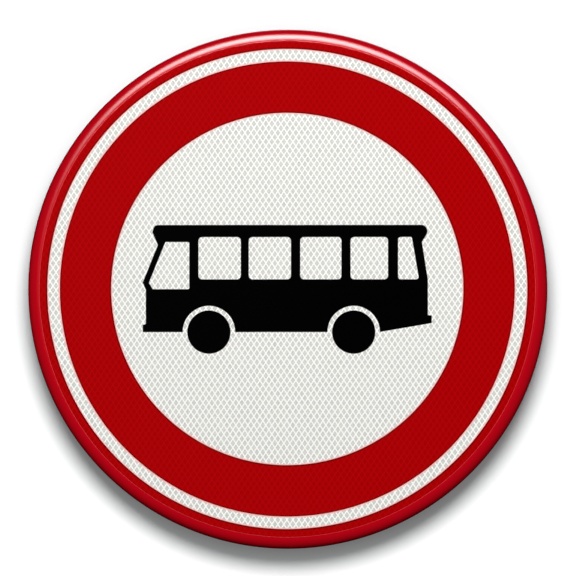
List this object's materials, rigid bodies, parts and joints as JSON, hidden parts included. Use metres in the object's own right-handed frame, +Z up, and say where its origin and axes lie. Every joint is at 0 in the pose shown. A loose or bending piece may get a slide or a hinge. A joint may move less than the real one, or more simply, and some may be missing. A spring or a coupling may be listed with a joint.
{
  "type": "no buses sign",
  "caption": "Round road sign: folded aluminium pan with a rolled rim, white and red sheeting, a black bus symbol and slotted rails on the back.",
  "frame": {"origin": "midway between the two rails, on the plane that the post touches", "axes": "the face looks along -Y, +X is to the right as one faces the sign, +Z is up"},
  "size_m": [0.6, 0.0271, 0.6],
  "materials": {
    "red_paint": "gloss",
    "rail_aluminium": "satin",
    "white_sheeting": "satin",
    "red_film": "satin",
    "black_film": "satin"
  },
  "bodies": {
    "root": {"sign_pan": "red_paint", "upper_rail": "rail_aluminium", "lower_rail": "rail_aluminium", "white_sheeting": "white_sheeting", "outer_red_band": "red_film", "red_ring": "red_film", "bus_body": "black_film", "front_wheel": "black_film", "rear_wheel": "black_film"}
  },
  "joints": []
}
